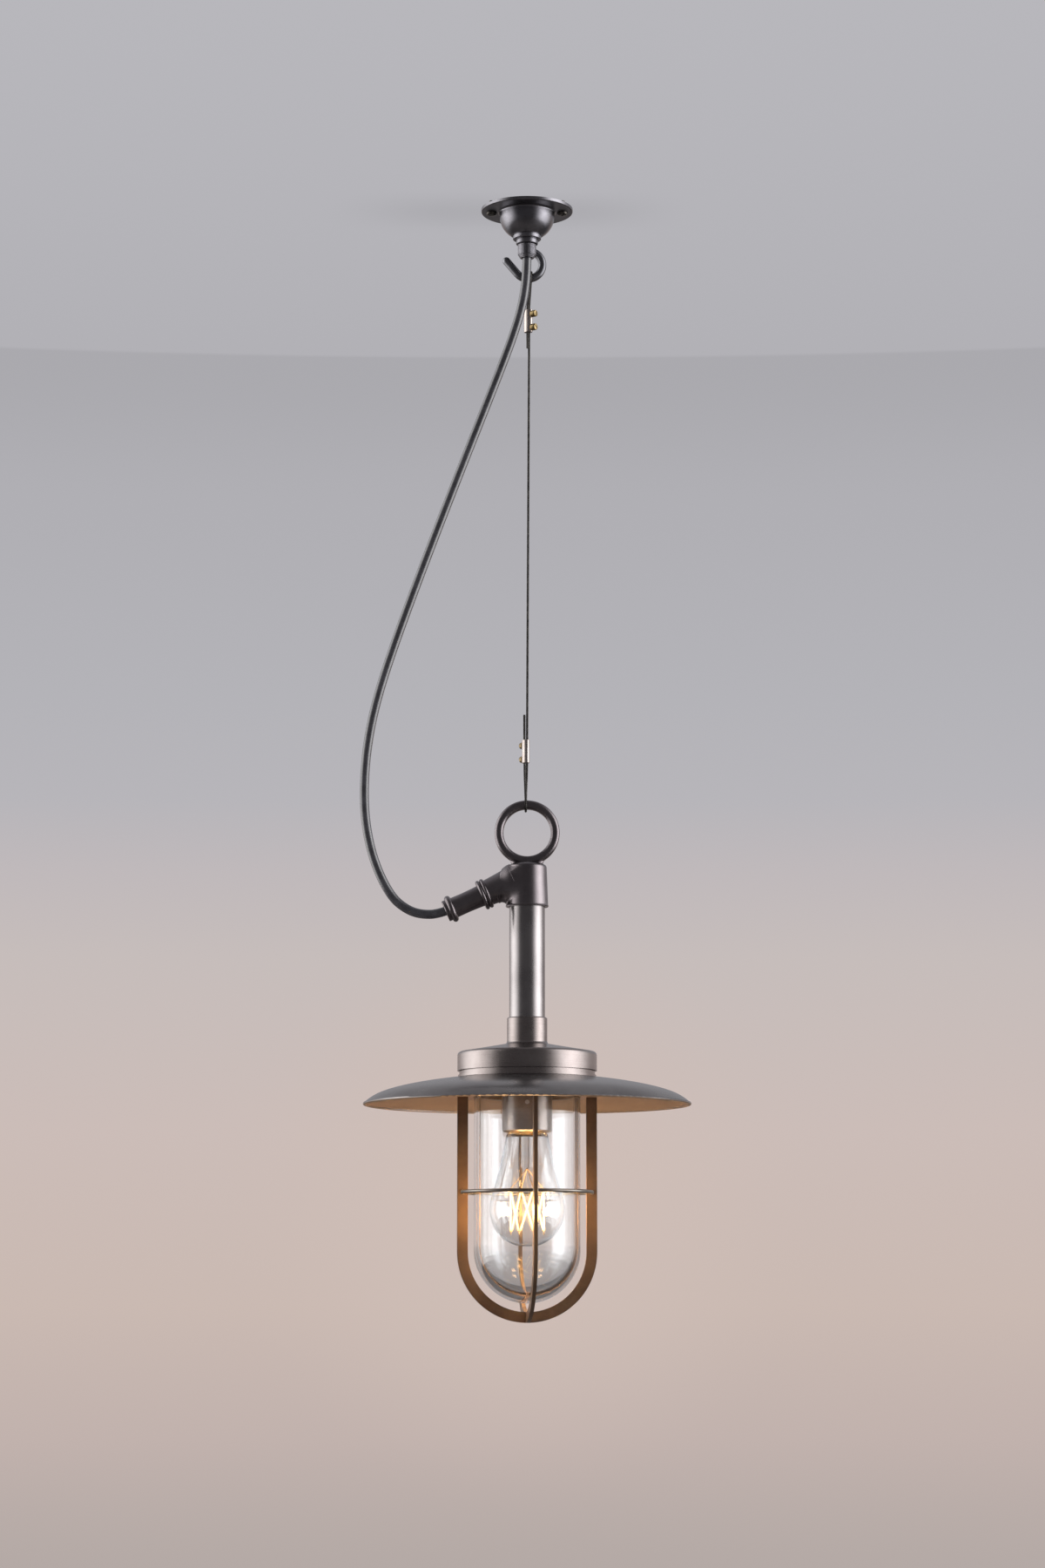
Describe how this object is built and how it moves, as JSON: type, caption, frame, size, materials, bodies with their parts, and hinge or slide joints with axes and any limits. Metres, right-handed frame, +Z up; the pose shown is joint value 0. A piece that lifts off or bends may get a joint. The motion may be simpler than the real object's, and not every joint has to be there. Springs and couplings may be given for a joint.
{
  "type": "well glass pendant light",
  "caption": "Pendant light: caged clear well glass under a broad spun visor, on a tube stem and ring head with an angled flex gland, hung by wire rope from a hooked ceiling rose.",
  "frame": {"origin": "centre of the ceiling rose's back face, in the plane of the ceiling", "axes": "+Z up into the ceiling, the light hangs along -Z; +X to the right of the picture, away from the angled arm; +Y away from the camera"},
  "size_m": [0.2653, 0.2612, 0.9108],
  "materials": {
    "aged_brass": "weathered dark brass, satin",
    "visor_brass": "weathered brass sheet, semi-gloss",
    "guard_brass": "dark bronzed cast brass, satin",
    "holder_brass": "drawn brass, satin",
    "bright_brass": "bright brass",
    "aged_brass_screw": "worn brass",
    "nickel_brass": "nickelled, dull",
    "dull_steel": "bent bar, dull",
    "rope_steel": "twisted wire rope, dark",
    "zinc_steel": "zinc plated",
    "black_rubber": "matt rubber",
    "core_sheath": "insulated cores",
    "white_plastic": "moulded",
    "white_porcelain": "glazed",
    "black_glass": "vitrified",
    "solder": "dull",
    "filament_phosphor": "phosphor coated, lit",
    "lead_wire": "thin wire",
    "clear_glass": "clear, thick blown glass",
    "bulb_clear_glass": "clear, thin"
  },
  "bodies": {
    "rose": {"ceiling_rose": "aged_brass", "rose_backplate": "zinc_steel", "ceiling_screws": "aged_brass_screw", "rose_gland_body": "aged_brass", "rose_gland_seal": "black_rubber", "rose_gland_nut": "aged_brass", "rose_locknut": "aged_brass", "terminal_block": "white_plastic", "terminal_screws": "bright_brass", "rose_wires": "core_sheath", "suspension_hook": "dull_steel", "hook_nut": "zinc_steel"},
    "suspension": {"suspension_rope": "rope_steel", "upper_rope_clamp": "nickel_brass", "upper_clamp_screws": "bright_brass", "lower_rope_clamp": "nickel_brass", "lower_clamp_screws": "bright_brass", "flex": "black_rubber"},
    "lamp": {"ring_head": "aged_brass", "gland_body": "aged_brass", "gland_seal": "black_rubber", "gland_nut": "aged_brass", "stem_tube": "aged_brass", "lamp_wires": "core_sheath", "stem_boss": "aged_brass", "boss_nut": "aged_brass", "grub_screws": "zinc_steel", "cap": "aged_brass", "collar_ring": "aged_brass", "visor": "visor_brass", "visor_screws": "aged_brass_screw", "holder_nipple": "zinc_steel", "nipple_nuts": "zinc_steel", "lampholder_shell": "holder_brass", "lampholder_insert": "white_porcelain", "lampholder_thread": "bright_brass", "lampholder_contact": "bright_brass", "lampholder_screw": "zinc_steel"},
    "glass": {"well_glass": "clear_glass", "glass_gasket": "black_rubber"},
    "guard": {"guard_ring": "guard_brass", "guard_ribs": "guard_brass", "guard_hoop": "guard_brass"},
    "bulb": {"bulb_glass": "bulb_clear_glass", "bulb_cap": "bright_brass", "bulb_insulator": "black_glass", "bulb_contact": "solder", "bulb_stem": "bulb_clear_glass", "bulb_filaments": "filament_phosphor", "bulb_wires": "lead_wire"}
  },
  "joints": [
    {"name": "pendant_swing", "type": "hinge", "parent": "rose", "child": "suspension", "pos_m": [0.0032, 0.015, -0.0538], "axis": [1, 0, 0], "range_deg": [-12, 12], "deforming": ["flex"]},
    {"name": "lamp_sway", "type": "hinge", "parent": "suspension", "child": "lamp", "pos_m": [0, 0.015, -0.5137], "axis": [0, 1, 0], "range_deg": [-12, 12], "deforming": ["flex"]},
    {"name": "glass_drop", "type": "slide", "parent": "lamp", "child": "glass", "axis": [0, 0, -1], "range_m": [0, 0.006]},
    {"name": "guard_unscrew", "type": "hinge", "parent": "glass", "child": "guard", "pos_m": [0, 0.015, -0.7193], "axis": [0, 0, -1], "range_deg": [0, 1080]},
    {"name": "bulb_withdraw", "type": "slide", "parent": "lamp", "child": "bulb", "axis": [0, 0, -1], "range_m": [0, 0.026]}
  ],
  "couplings": [
    {"joint": "glass_drop", "follows": "guard_unscrew", "m_per_rad": 0.000318}
  ]
}
